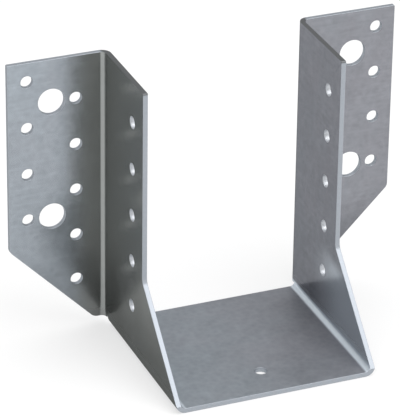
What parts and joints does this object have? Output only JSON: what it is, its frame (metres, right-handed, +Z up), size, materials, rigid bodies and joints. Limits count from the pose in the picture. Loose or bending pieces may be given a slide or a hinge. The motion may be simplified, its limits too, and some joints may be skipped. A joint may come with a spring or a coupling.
{
  "type": "joist hanger u bracket",
  "caption": "U bracket folded from galvanised sheet steel: a flat seat, two upright walls with slanting front edges, and outward wings, all punched for nails and bolts.",
  "frame": {"origin": "middle of the bounding box's bottom face, on the underside of the seat", "axes": "+Y towards the beam that the wings are fixed to, with the joist coming in from -Y; +Z up from the seat along the walls; +X across the joist"},
  "size_m": [0.164, 0.08, 0.12],
  "materials": {
    "galvanised_sheet": "galvanised, mottled satin grey with bright sheared edges"
  },
  "bodies": {
    "root": {"u_bracket": "galvanised_sheet"}
  },
  "joints": []
}
